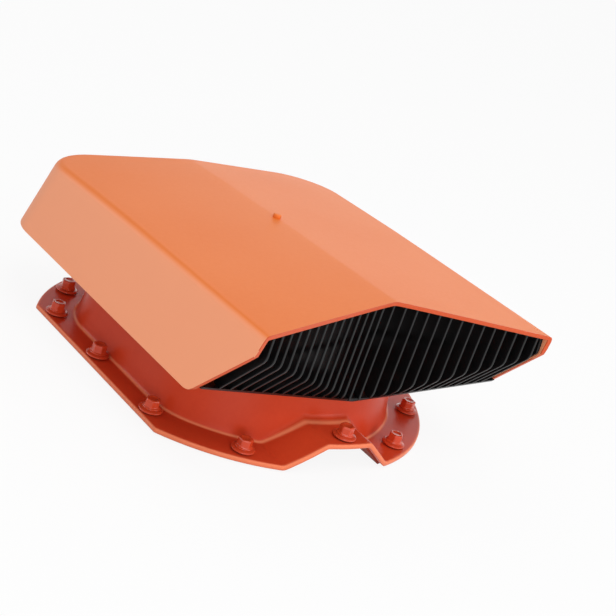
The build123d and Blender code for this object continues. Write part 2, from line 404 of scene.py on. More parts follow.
class Mesher:
    """Collects points and faces in millimetres and turns them into one welded mesh in metres."""

    def __init__(self) -> None:
        """Starts with nothing."""
        self.points: Line = []
        self.faces: list[tuple[int, ...]] = []
        self.marks: list[float] = []

    def sheet(
        self,
        lines: Sequence[Line],
        ring: bool = False,
        loop: bool = False,
        mark: float | Sequence[float] = 0.0,
    ) -> None:
        """Adds quads between neighbouring lines of points.

        Args:
            lines: Lines with equal counts of points.
            ring: Whether the last line joins the first.
            loop: Whether each line's last point joins its first.
            mark: The mesh's own attribute on these points, or one value for each point of a line.
        """
        first = len(self.points)
        count = len(lines[0])
        marks = [mark] * count if isinstance(mark, float) else mark
        for line in lines:
            self.points.extend(line)
            self.marks.extend(marks)
        for i in range(len(lines) if ring else len(lines) - 1):
            for j in range(count if loop else count - 1):
                a, b = i * count, ((i + 1) % len(lines)) * count
                c, d = j, (j + 1) % count
                self.faces.append((first + a + c, first + b + c, first + b + d, first + a + d))

    def lathe(
        self, centre: Point, profile: Sequence[tuple[float, float]], sides: int, mark: float = 0.0
    ) -> None:
        """Turns a profile round an upright axis, from a pole or an open edge to another.

        Args:
            centre: The point that the profile's heights start from.
            profile: Pairs of a radius and a height.
            sides: Steps round the axis.
            mark: The value of the mesh's own attribute on these points.
        """
        self.sheet(rings(profile, sides, centre), loop=True, mark=mark)

    def prism(self, outline: Sequence[tuple[float, float]], low: float, high: float) -> None:
        """Adds a closed upright prism.

        Args:
            outline: Its corners, seen from above.
            low: The height of its foot.
            high: The height of its top.
        """
        first = len(self.points)
        count = len(outline)
        for level in (low, high):
            self.points.extend((x, y, level) for x, y in outline)
            self.marks.extend([0.0] * count)
        self.faces.append(tuple(first + k for k in reversed(range(count))))
        self.faces.append(tuple(first + count + k for k in range(count)))
        for k in range(count):
            n = (k + 1) % count
            self.faces.append((first + k, first + n, first + count + n, first + count + k))

    def thing(self, name: str, attribute: str = "") -> bpy.types.Object:
        """Makes the welded object.

        Args:
            name: The object's name.
            attribute: The name of the attribute that the marks go into, if any.

        Returns:
            The object, in the scene, at the origin, with its faces outward and shaded smooth.
        """
        mesh = bpy.data.meshes.new(name)
        mesh.from_pydata(metres(self.points), [], self.faces)
        if attribute:
            layer = mesh.attributes.new(attribute, "FLOAT", "POINT")
            layer.data.foreach_set("value", self.marks)
        form = bmesh.new()
        form.from_mesh(mesh)
        bmesh.ops.remove_doubles(form, verts=form.verts, dist=0.000002)
        bmesh.ops.dissolve_degenerate(form, dist=0.0000005, edges=form.edges)
        bmesh.ops.recalc_face_normals(form, faces=form.faces)
        for face in form.faces:
            face.smooth = True
        form.to_mesh(mesh)
        form.free()
        return stand(name, mesh)


def plain(thing: bpy.types.Object) -> bpy.types.Object:
    """Applies an object's modifiers.

    Args:
        thing: The object.

    Returns:
        The same object with a plain mesh and no modifier.
    """
    ready = thing.evaluated_get(bpy.context.evaluated_depsgraph_get())
    mesh = bpy.data.meshes.new_from_object(ready)
    thing.modifiers.clear()
    thing.data = mesh
    return thing


def round_edges(thing: bpy.types.Object, width: float) -> bpy.types.Object:
    """Rounds the sharp edges of an object, in SHARP_STEPS faces each.

    Args:
        thing: The object.
        width: How far the rounding reaches from the edge, in millimetres.

    Returns:
        The same object.
    """
    bevel = thing.modifiers.new("rounding", "BEVEL")
    bevel.width = width * MM
    bevel.segments = SHARP_STEPS
    bevel.limit_method = "ANGLE"
    bevel.angle_limit = math.radians(SHARP_ANGLE)
    bevel.harden_normals = False
    return plain(thing)


def settle(thing: bpy.types.Object, finish: Finish, slot: str, *nodes: str) -> None:
    """Gives a finished piece its body and its finish, and hides the CAD nodes that it stands for.

    Args:
        thing: The piece.
        finish: Its finish.
        slot: The record's material slot; not used.
        nodes: The CAD nodes that it replaces.
    """
    finish.dress(thing)
    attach(thing, "root")
    if nodes:
        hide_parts(*nodes)
    log.info("%s: %d faces", thing.name, len(thing.data.polygons))


@dataclass
class Hood:
    """The hood moulding: ridged roof, leaning walls, swept mouth, nub and four posts."""

    half: float = 108.0
    flare: float = 6.0
    wall: float = 2.5
    low: float = 45.5
    front_top: float = 98.2
    rear: float = 118.8
    rear_in: float = 13.8
    rear_top: float = 92.7
    corner: float = 32.0
    top_round: float = 4.5
    mouth_low: float = -102.8
    mouth_kink: float = -137.7
    kink_level: float = 85.5
    mouth_corner: float = -140.4
    mouth_peak: float = -111.6
    peak_soft: float = 2.6
    low_round: float = 12.0
    ridge_soft: float = 1.2
    ridge_end: float = 60.0
    lip_round: float = 0.45
    nub: tuple[float, float] = (0.0, 3.5)
    nub_radius: float = 2.6
    nub_top: float = 104.2
    post_radius: float = 5.0
    post_foot: float = 64.2
    post_ring: float = 81.0
    stations: tuple[Point, ...] = (
        (-170.0, 98.6, 107.8),
        (5.0, 96.0, 101.6),
        (75.0, 93.5, 98.7),
        (150.0, 87.0, 93.0),
    )
    knee_soft: float = 14.0
    roof_shares: tuple[float, ...] = (
        *(0.04, 0.06, 0.12, 0.24, 0.38, 0.52, 0.66, 0.78),
        *(0.87, 0.93, 0.965, 0.985, 1.0),
    )
    inner_round: float = 1.0
    post_soft: float = 0.4
    # Painted sheen: how fast the walls' paler colour fades as their faces turn up
    sheen_fade: float = 1.15
    # Painted shade: how far the lip's redder colour reaches from the mouth's edge
    lip_shade_reach: float = 0.35
    turned_sides: int = 32

    def level(self, y: float, which: int) -> float:
        """Finds the height of the crease or the ridge, with soft knees.

        Args:
            y: The place along the hood.
            which: 1 for the crease, 2 for the ridge.

        Returns:
            The height.
        """
        return softened(lambda spot: self._straight(spot, which), y, self.knee_soft)

    def _straight(self, y: float, which: int) -> float:
        """Returns the height between the two stations around a place along the hood."""
        pairs = list(zip(self.stations, self.stations[1:]))
        first, second = next((p for p in pairs if y <= p[1][0]), pairs[-1])
        share = (y - first[0]) / (second[0] - first[0])
        return first[which] + (second[which] - first[which]) * share

    def roof(self, x: float, y: float, inset: float) -> float:
        """Finds the roof's height over a point.

        Args:
            x: The place across.
            y: The place along.
            inset: How far the roof is drawn in.

        Returns:
            The height.
        """
        crease, ridge = self.level(y, 1), self.level(y, 2)
        across = math.hypot(x, self.ridge_soft) - self.ridge_soft
        return ridge - (ridge - crease) * across / self.half - inset

    def mouth(self, x: float, z: float) -> float:
        """Finds how far forward the mouth's edge stands.

        Args:
            x: The place across.
            z: The height.

        Returns:
            The edge's place along the hood.
        """
        sweep = (self.mouth_corner - self.mouth_peak) / self.half
        tilt = (self.mouth_kink - self.mouth_corner) / (self.front_top - self.kink_level)
        front = self.mouth_peak + sweep * (math.hypot(x, self.peak_soft)) + tilt * (self.front_top - z)
        rake = (self.mouth_kink - self.mouth_low) / (self.kink_level - self.low)
        cheek = self.mouth_low + rake * (z - self.low)
        return max(front, cheek, self._low_corner(z))

    def _slope(self) -> float:
        """Returns how steeply the cheeks' edge climbs, as an angle over level."""
        return math.atan2(self.kink_level - self.low, self.mouth_low - self.mouth_kink)

    def _low_corner(self, z: float) -> float:
        """Returns the mouth's edge on the rounded low corner of a cheek, or a place far ahead of it above."""
        slope = self._slope()
        centre_y = self.mouth_low + self.low_round * math.tan(slope / 2)
        drop = self.low + self.low_round - z
        if drop < self.low_round * math.cos(slope):
            return 2 * self.mouth_corner
        return centre_y - math.sqrt(max(self.low_round**2 - drop**2, 0.0))

    def levels(self) -> list[float]:
        """Returns the heights of the wall's rows under the roof's rounding."""
        turns = [self._slope() * k / 6 for k in range(7)]
        foot = [self.low + self.low_round * (1 - math.cos(t)) for t in turns]
        steps = [foot[-1] + (self.kink_level - foot[-1]) * k / 6 for k in range(1, 7)]
        return foot + steps

    def columns(self) -> list[Spec]:
        """Returns the columns from the mouth's left edge round the rear to its right edge.

        Returns:
            For each column its kind, its share or angle along that kind's stretch, and its side.
        """
        shares = [0.0, 0.003, 0.01, 0.03, 0.08, 0.16, 0.28, 0.42, 0.56, 0.7, 0.84, 1.0]
        turns = [math.pi / 2 * k / 12 for k in range(1, 13)]
        spread = [0.9, 0.7, 0.5, 0.3, 0.15, 0.07, 0.03, 0.01]
        left = [("side", s, -1) for s in shares] + [("arc", t, -1) for t in turns]
        rear = [("rear", s, -1) for s in spread] + [("rear", 0.0, 1)]
        rear += [("rear", s, 1) for s in reversed(spread)]
        right = [("arc", t, 1) for t in reversed(turns)] + [("side", s, 1) for s in reversed(shares)]
        return left + rear + right

    def foot(self, column: Spec, z: float, inset: float) -> tuple[float, float]:
        """Finds where a column crosses the wall at a height.

        Args:
            column: The column.
            z: The height.
            inset: How far the skin is drawn in.

        Returns:
            The place, seen from above.
        """
        kind, share, side = column
        lean = self.flare / (self.front_top - self.low)
        rear_lean = self.rear_in / (self.rear_top - self.low)
        half = self.half + self.flare - lean * (z - self.low) - inset * math.hypot(1, lean)
        rear = self.rear - rear_lean * (z - self.low) - inset * math.hypot(1, rear_lean)
        corner = self.corner - inset
        if kind == "side":
            start = self.mouth(half, z)
            return side * half, start + (rear - corner - start) * share
        if kind == "arc":
            return side * (half - corner + corner * math.cos(share)), rear - corner + corner * math.sin(share)
        return side * (half - corner) * share, rear

    def column(self, spec: Spec, inset: float, rounding: float) -> Line:
        """Builds one column of points, up the wall, round the top edge and in to the ridge.

        Args:
            spec: The column.
            inset: How far the skin is drawn in.
            rounding: The radius of the top edge.

        Returns:
            Its points.
        """
        top = self.front_top
        for _ in range(12):  # the wall leans, so its place and the roof's height settle together
            x, y = self.foot(spec, top, inset)
            top = self.roof(x, y, inset)
        reach = max(rounding, 0.3) * 0.95
        heights = [*self.levels(), (self.kink_level + top - reach) / 2]
        rows = [(*self.foot(spec, z, inset), z) for z in heights]
        start = Vector((*self.foot(spec, top - reach, inset), top - reach))
        edge = Vector((*self.foot(spec, top, inset), top))
        near = reach / max(math.hypot(edge.x, edge.y - self.ridge_end), 1.0)
        away = self.inward(spec, edge, near, inset)
        rows += [parabola(start, edge, away, k / 6) for k in range(7)]
        return rows + [tuple(self.inward(spec, edge, share, inset)) for share in self.roof_shares]

    def inward(self, spec: Spec, edge: Vector, share: float, inset: float) -> Vector:
        """Finds a column's point on the roof.

        Args:
            spec: The column.
            edge: Its point on the top edge.
            share: How far along the way from the edge to the ridge.
            inset: How far the skin is drawn in.

        Returns:
            The point.
        """
        kind, along, _ = spec
        x = edge.x * (1 - share)
        if kind == "side":
            ahead = self.mouth(x, self.front_top)
            for _ in range(3):
                ahead = self.mouth(x, self.roof(x, ahead, inset))
            rear = self.foot(("side", 1.0, 1), edge.z, inset)[1]
            last = self.ridge_end + (rear - self.ridge_end) * (1 - share)
            y = ahead + (last - ahead) * along
        else:
            y = edge.y + (self.ridge_end - edge.y) * share
        return Vector((x, y, self.roof(x, y, inset)))

    def build(self) -> None:
        """Builds the hood and puts it in place of its node."""
        form = Mesher()
        outer = [self.column(c, 0.0, self.top_round) for c in self.columns()]
        inner = [self.column(c, self.wall, self.inner_round) for c in self.columns()]
        form.sheet(outer)
        form.sheet(inner)
        form.sheet([[line[0] for line in outer], [line[0] for line in inner]])
        form.sheet([outer[0], inner[0]])
        form.sheet([outer[-1], inner[-1]])
        hood = round_edges(form.thing("hood_moulding"), self.lip_round)
        self.tone(hood)
        join(hood, self.extras())
        settle(hood, HOOD_PLASTIC, "hood", "hood")

    def tone(self, hood: bpy.types.Object) -> None:
        """Paints a sheen on the upright walls, which go paler, and shade on the mouth's lip, which goes
        redder.
        """
        side = hood.data.attributes.new("side", "FLOAT", "POINT")
        shares = [max(0.0, 1.0 - self.sheen_fade * abs(v.normal.z)) for v in hood.data.vertices]
        side.data.foreach_set("value", shares)
        lip = hood.data.attributes.new("lip", "FLOAT", "FACE")
        spots = [tuple(face.center / MM) for face in hood.data.polygons]
        near = [float(abs(y - self.mouth(x, z)) < self.lip_shade_reach) for x, y, z in spots]
        lip.data.foreach_set("value", near)

    def extras(self) -> bpy.types.Object:
        """Builds the nub on the ridge and the four posts under the roof."""
        form = Mesher()
        x, y = self.nub
        r, soft = self.nub_radius, self.nub_radius / 3
        bottom = self.roof(x, y, self.wall / 2) - self.nub_top
        rounding = [(r - soft * (1 - math.cos(a)), soft * (math.sin(a) - 1)) for a in (0.0, 0.4, 0.8, 1.2)]
        outline = [(0.0, bottom), (r, bottom), *rounding, (r - soft, 0.0), (0.0, 0.0)]
        form.lathe((x, y, self.nub_top), outline, self.turned_sides)
        r, soft = self.post_radius, self.post_soft
        for turn in DIAGONALS:
            x, y = self.post_ring * math.cos(turn), self.post_ring * math.sin(turn)
            height = self.roof(x, y, self.wall / 2) - self.post_foot
            outline = [(0.0, 0.0), (r - soft, 0.0), (r, soft), (r, height), (0.0, height)]
            form.lathe((x, y, self.post_foot), outline, self.turned_sides)
        return form.thing("hood_extras")


def join(carrier: bpy.types.Object, extra: bpy.types.Object) -> None:
    """Adds one object's mesh to another's and removes the first.

    Args:
        carrier: The object that stays.
        extra: The object that goes into it.
    """
    form = bmesh.new()
    form.from_mesh(carrier.data)
    form.from_mesh(extra.data)
    form.to_mesh(carrier.data)
    form.free()
    bpy.data.objects.remove(extra)


@dataclass
class Base:
    """The base moulding: a disc flange bent over one roof rib, and the tapered throat that stands on it."""

    radius: float = 102.0
    flat: float = -87.0
    corner: float = 45.0
    wall: float = 3.0
    top: float = 64.2
    draft: float = 11.0
    flange_radius: float = 125.0
    flange_flat: float = -102.0
    flange_corner: float = 2.0
    thickness: float = 3.0
    pan: float = 4.2
    crest_x: float = -5.0
    crest_foot: float = 37.5
    crest_top: float = 16.0
    crest_rise: float = 16.5
    fold_soft: float = 1.4
    foot_round: float = 2.2
    rim_round: float = 1.0
    lug_ring: float = 81.0
    lug_width: float = 14.0
    lug_depth: float = 4.0
    lug_round: float = 3.0
    lug_edge: float = 0.3
    steps: int = 46

    def sheet(self, x: float, depth: float) -> float:
        """Returns the height of a layer of the bent sheet at a place across, with soft folds."""
        return softened(lambda spot: self._straight(spot, depth), x, self.fold_soft)

    def _straight(self, x: float, depth: float) -> float:
        """Returns the height of a layer of the sheet with sharp folds."""
        flank = math.atan(self.crest_rise / (self.crest_foot - self.crest_top))
        shift = depth * math.tan(flank / 2)
        foot, crown = self.crest_foot - shift, self.crest_top - shift
        climb = min(max((foot - abs(x - self.crest_x)) / (foot - crown), 0.0), 1.0)
        return self.pan - depth + self.crest_rise * climb

    def reach(self, turn: float, radius: float, flat: float, corner: float) -> float:
        """Returns how far a cut disc's edge lies from the axis in a direction.

        Args:
            turn: The direction, in radians from +X.
            radius: The disc's radius.
            flat: Where it is cut, a place along -X.
            corner: The radius of the two corners at the cut.

        Returns:
            The distance.
        """
        centre_x = flat + corner
        centre_y = math.sqrt((radius - corner) ** 2 - centre_x**2)
        turn = abs(math.remainder(turn, 2 * math.pi))
        if turn <= math.atan2(centre_y, centre_x):
            return radius
        if turn >= math.atan2(centre_y, flat):
            return flat / math.cos(turn)
        away = turn - math.atan2(centre_y, centre_x)
        run = radius - corner
        return run * math.cos(away) + math.sqrt(corner**2 - (run * math.sin(away)) ** 2)

    def columns(self) -> list[Held]:
        """Returns the columns round the moulding.

        Returns:
            For each one the place along X where it is held at the crest, or nan, and its two directions,
            on the throat and on the flange's rim.
        """
        ends = (self.crest_x - self.crest_foot - 3.0, self.crest_x + self.crest_foot + 3.0)
        reaches = (self.crest_top, self.crest_foot)
        folds = [self.crest_x + side * reach for side in (-1, 1) for reach in reaches]
        marks = [fold + self.fold_soft * k for fold in folds for k in (-1.0, -0.5, 0.0, 0.5, 1.0)]
        marks += [ends[0] + (ends[1] - ends[0]) * k / 14 for k in range(15)]
        marks += [self.crest_x + side * (self.crest_foot - self.thickness) for side in (-1, 1)]
        held = sorted(set(round(mark, 3) for mark in marks))
        inner = [math.acos(end / self.radius) for end in ends]
        outer = [math.acos(end / self.flange_radius) for end in ends]
        bend = math.atan2(math.sqrt(self.flange_radius**2 - self.flange_flat**2), self.flange_flat)
        right = [k / self.steps * 2 - 1 for k in range(1, self.steps)]
        corner = (math.pi - bend) / (math.pi - outer[0])
        close = [side * (corner + d) for side in (-1, 1) for d in (-0.012, -0.006, 0.0, 0.006, 0.012)]
        left = sorted(right + close)
        spans = math.pi - inner[0], math.pi - outer[0]
        made = [(math.nan, s * inner[1], s * outer[1]) for s in right]
        made += [(x, 1.0, 1.0) for x in reversed(held)]
        made += [(math.nan, math.pi + s * spans[0], math.pi + s * spans[1]) for s in left]
        made += [(x, -1.0, -1.0) for x in held]
        return made

    def spot(self, column: Held, rim: bool, offset: float) -> tuple[float, float]:
        """Returns a column's place on an outline, seen from above.

        Args:
            column: The column.
            rim: Whether the outline is the flange's rim, and not the throat.
            offset: How far the outline is drawn out.

        Returns:
            Its place.
        """
        held, inner, outer = column
        radius, flat, corner = self.radius, self.flat, self.corner
        if rim:
            radius, flat, corner = self.flange_radius, self.flange_flat, self.flange_corner
        radius, flat, corner = radius + offset, flat - offset, corner + offset
        if not math.isnan(held):
            return held, inner * math.sqrt(radius**2 - held**2)
        turn = outer if rim else inner
        far = self.reach(turn, radius, flat, max(corner, 0.2))
        return far * math.cos(turn), far * math.sin(turn)

    def drawn(self, z: float) -> float:
        """Returns how far the throat's skin is drawn out at a height."""
        return -(z - self.pan) * math.tan(math.radians(self.draft))

    def section(self, column: Held) -> Line:
        """Builds the closed line of one column through the whole moulding."""
        soft, foot, t = self.rim_round, self.foot_round, self.thickness
        line: Line = []
        near = self.spot(column, False, foot)
        far = self.spot(column, True, -soft)
        for share in (0.0, 0.03, 0.1, 0.25, 0.45, 0.65, 0.85, 0.96, 1.0):
            x, y = between(near, far, share)
            line.append((x, y, self.sheet(x, 0.0)))
        for k in range(1, 5):
            turn = math.pi / 2 * k / 4
            x, y = self.spot(column, True, -soft + soft * math.sin(turn))
            line.append((x, y, self.sheet(x, 0.0) - soft * (1 - math.cos(turn))))
        x, y = self.spot(column, True, 0.0)
        line.append((x, y, self.sheet(x, t) + soft / 2))
        x, y = self.spot(column, True, -soft / 2)
        line.append((x, y, self.sheet(x, t)))
        under = self.spot(column, False, -self.wall + self.drawn(self.pan - t))
        for share in (0.3, 0.7, 1.0):
            x, y = between(line[-1][:2], under, share)
            line.append((x, y, self.sheet(x, t)))
        bottom = line[-1][2]
        for share in (0.05, 0.3, 0.6, 0.95, 0.985):
            z = bottom + (self.top - bottom) * share
            line.append((*self.spot(column, False, -self.wall + self.drawn(z)), z))
        lip = ((self.wall - 0.2, 0.2), (self.wall - 0.7, 0.0), (0.8, 0.0), (0.25, 0.2), (0.0, 0.8))
        for inset, drop in lip:
            z = self.top - drop
            line.append((*self.spot(column, False, -inset + self.drawn(self.top)), z))
        level = self.sheet(self.spot(column, False, 0.0)[0], 0.0)
        start = level + foot
        for share in (0.04, 0.2, 0.4, 0.6, 0.8, 0.95):
            z = self.top + (start - self.top) * share
            line.append((*self.spot(column, False, self.drawn(z)), z))
        up = Vector((*self.spot(column, False, self.drawn(start)), start))
        middle = Vector((*self.spot(column, False, 0.0), level))
        return line + [parabola(up, middle, Vector(line[0]), k / 7) for k in range(7)]

    def edges(self) -> list[float]:
        """Returns a section's marks: a painted highlight on the flange's rim and the throat's foot."""
        flat = [0.0] * 8 + [0.2]
        rim = [0.6, 0.9, 0.9, 0.9, 0.8, 0.1]
        hidden = [0.0] * 19
        foot = [0.0, 0.0, 0.3, 0.9, 1.0, 0.6, 0.1]
        return flat + rim + hidden + foot

    def lug(self, form: Mesher, turn: float) -> None:
        """Adds one lug inside the throat's rim, with soft inner corners.

        Args:
            form: The mesher that it goes into.
            turn: Its direction, in radians from +X.
        """
        half, soft = self.lug_width / 2, self.lug_round
        near, far = self.lug_ring - half, self.radius + self.drawn(self.top) - self.wall / 2
        turns = (0.0, 0.4, 0.8, 1.2, 1.5708)
        bends = [(near + soft * (1 - math.sin(a)), half - soft * (1 - math.cos(a))) for a in turns]
        outline = [(far, half), *bends, *[(u, -v) for u, v in reversed(bends)], (far, -half)]
        cos, sin = math.cos(turn), math.sin(turn)
        turned = [(u * cos - v * sin, u * sin + v * cos) for u, v in outline]
        form.prism(turned, self.top - self.lug_depth, self.top)

    def build(self) -> None:
        """Builds the base and puts it in place of its three nodes."""
        form = Mesher()
        lines = [self.section(column) for column in self.columns()]
        # The edge marks paint a highlight on the flange's rim and the throat's foot
        form.sheet(lines, ring=True, loop=True, mark=self.edges())
        base = form.thing("base_moulding", "edge")
        lugs = Mesher()
        for turn in DIAGONALS:
            self.lug(lugs, turn)
        join(base, round_edges(lugs.thing("base_lugs"), self.lug_edge))
        settle(base, BASE_PLASTIC, "base", "flange", "crest", "throat")


def start_group(name: str, inputs: dict[str, str]) -> tuple[bpy.types.NodeTree, Board, dict[str, Wire]]:
    """Starts a geometry node group.

    Args:
        name: The group's name.
        inputs: The kind of each named input besides the geometry, such as Float.

    Returns:
        The group, its board, and its inputs as terms, by name.
    """
    tree = bpy.data.node_groups.new(name, "GeometryNodeTree")
    for label, kind in {"Geometry": "Geometry", **inputs}.items():
        tree.interface.new_socket(label, in_out="INPUT", socket_type=f"NodeSocket{kind}")
    tree.interface.new_socket("Geometry", in_out="OUTPUT", socket_type="NodeSocketGeometry")
    board = Board(tree)
    given = board.node("NodeGroupInput").outputs
    return tree, board, {item.name: board.wire(item) for item in given if item.name}


def close_group(board: Board, shape: bpy.types.NodeSocket, finish: Finish) -> None:
    """Ends a geometry node group.

    Args:
        board: The group's board.
        shape: The geometry, which becomes real and takes the finish.
        finish: The finish.
    """
    real = board.node("GeometryNodeRealizeInstances", {"Geometry": shape})
    dressed = board.node("GeometryNodeSetMaterial", {"Geometry": real.outputs[0], "Material": finish.build()})
    board.node("NodeGroupOutput", {"Geometry": dressed.outputs[0]})


def run_group(thing: bpy.types.Object, tree: bpy.types.NodeTree, values: dict[str, object]) -> None:
    """Runs a geometry node group on an object and leaves a plain mesh.

    Args:
        thing: The object.
        tree: The group.
        values: The group's inputs, by name.
    """
    nodes = thing.modifiers.new(tree.name, "NODES")
    nodes.node_group = tree
    for item in tree.interface.items_tree:
        if item.in_out == "INPUT" and item.name in values:
            nodes[item.identifier] = values[item.name]
    plain(thing)


@dataclass
class Scatter:
    """A node group that sets a template on every point of a mesh, each with its own turn."""

    name: str
    finish: Finish
    seed: int = 7
    turn: float = 2 * math.pi

    def tree(self) -> bpy.types.NodeTree:
        """Builds the node group, with the template, the turn and the seed as named inputs."""
        tree, board, given = start_group(self.name, {"Template": "Object", "Turn": "Float", "Seed": "Int"})
        shape = board.node("GeometryNodeObjectInfo", {"Object": given["Template"], "As Instance": True})
        limits = {2: 0.0, 3: given["Turn"], "Seed": given["Seed"]}
        chance = board.node("FunctionNodeRandomValue", limits, data_type="FLOAT")
        way = board.node("ShaderNodeCombineXYZ", {"Z": chance.outputs[1]})
        placed = board.node(
            "GeometryNodeInstanceOnPoints",
            {"Points": given["Geometry"], "Instance": shape.outputs["Geometry"], "Rotation": way.outputs[0]},
        )
        close_group(board, placed.outputs[0], self.finish)
        return tree

    def build(self, places: Sequence[Point], template: bpy.types.Object) -> bpy.types.Object:
        """Sets the template on each place and removes the template.

        Args:
            places: The points, in millimetres.
            template: The piece to repeat.

        Returns:
            One plain object.
        """
        mesh = bpy.data.meshes.new(self.name)
        mesh.from_pydata(metres(places), [], [])
        made = stand(self.name, mesh)
        run_group(made, self.tree(), {"Template": template, "Turn": self.turn, "Seed": self.seed})
        bpy.data.objects.remove(template)
        return made


@dataclass
class RoofingScrews:
    """The twelve hex-headed roofing screws and their bonded washers."""

    ring: float = 115.5
    turns: tuple[float, ...] = (-121.0, -63.0, -35.0, -3.0, 27.0, 58.0, 128.0)
    strip: tuple[Point, ...] = ((-94.5, 60.5, 4.2), (-94.5, 8.0, 4.2), (-94.5, -54.5, 4.2))
    crest: tuple[Point, ...] = ((-5.0, -116.5, 20.7), (-5.0, 116.5, 20.7))
    seat: float = 4.2
    shank: float = 2.4
    shank_drop: float = 3.0
    seal: float = 5.4
    seal_height: float = 1.0
    washer: float = 7.0
    washer_edge: float = 1.7
    grip: float = 2.6
    bore: float = 2.75
    flange: float = 5.2
    flange_height: float = 1.0
    flats: float = 8.0
    head_top: float = 8.0
    head_round: float = 0.7
    hollow: float = 0.5
    sides: int = 48

    def places(self) -> list[Point]:
        """Returns the middle of each washer's seat."""
        turns = [math.radians(turn) for turn in self.turns]
        round_rim = [(self.ring * math.cos(t), self.ring * math.sin(t), self.seat) for t in turns]
        return round_rim + list(self.strip) + list(self.crest)

    def hexagon(self, turn: float) -> float:
        """Returns the hexagon's reach in a direction, with soft corners."""
        third = math.pi / 3
        away = (turn % third) - third / 2
        return min(self.flats / 2 / math.cos(away), self.flats / 2 * 1.13)

    def head(self) -> bpy.types.Object:
        """Builds one screw: shank, sloped collar and a hex head with a shallow hollow."""
        form = Mesher()
        apothem = self.flats / 2
        foot = self.grip + self.flange_height
        round_rows = [
            (0.0, -self.shank_drop),
            (self.shank, -self.shank_drop),
            (self.shank, self.grip),
            (self.flange - 0.15, self.grip),
            (self.flange, self.grip + 0.15),
            (self.flange, self.grip + 0.4),
            (self.flange - 0.2, self.grip + 0.6),
        ]
        hex_rows = [
            (1.0, foot - 0.1),
            (0.99, foot + 0.3),
            (0.98, self.head_top - 1.2),
            (0.975, self.head_top - self.head_round),
            (0.93, self.head_top - 0.3),
            (0.86, self.head_top - 0.06),
        ]
        top_rows = [
            (apothem * 0.78, self.head_top),
            (apothem * 0.66, self.head_top),
            (apothem * 0.56, self.head_top - self.hollow * 0.6),
            (apothem * 0.4, self.head_top - self.hollow),
            (0.0, self.head_top - self.hollow),
        ]
        lines = rings(round_rows, self.sides) + rings(hex_rows, self.sides, shape=self.hexagon)
        form.sheet(lines + rings(top_rows, self.sides), loop=True)
        return form.thing("screw_template")

    def disc(self) -> bpy.types.Object:
        """Builds one washer: a domed steel disc with its seal bonded underneath, marked as rubber."""
        form = Mesher()
        low, mid = self.seal_height, self.washer_edge
        steel = [
            (self.bore, low),
            (self.washer - 0.1, low),
            (self.washer, low + 0.15),
            (self.washer, mid),
            (self.washer - 0.15, mid + 0.18),
            (self.washer - 0.8, mid + 0.42),
            (self.flange + 0.1, self.grip - 0.08),
            (self.flange - 0.6, self.grip),
            (self.bore, self.grip),
            (self.bore, low),
        ]
        form.lathe((0.0, 0.0, 0.0), steel, self.sides)
        rubber = [
            (self.bore + 0.05, 0.0),
            (self.seal - 0.1, 0.0),
            (self.seal, 0.2),
            (self.seal, low + 0.05),
            (self.bore + 0.05, low + 0.05),
            (self.bore + 0.05, 0.0),
        ]
        form.lathe((0.0, 0.0, 0.0), rubber, self.sides, mark=1.0)
        return form.thing("washer_template", "seal")

    def build(self) -> None:
        """Builds all the screws and washers and puts them in place of their nodes."""
        screws = Scatter("roofing_screws", PAINTED_HEAD).build(self.places(), self.head())
        settle(screws, PAINTED_HEAD, "flange_screws", "flange_screws")
        discs = Scatter("roofing_washers", PAINTED_WASHER, turn=0.0).build(self.places(), self.disc())
        settle(discs, PAINTED_WASHER, "screw_washers", "screw_washers")


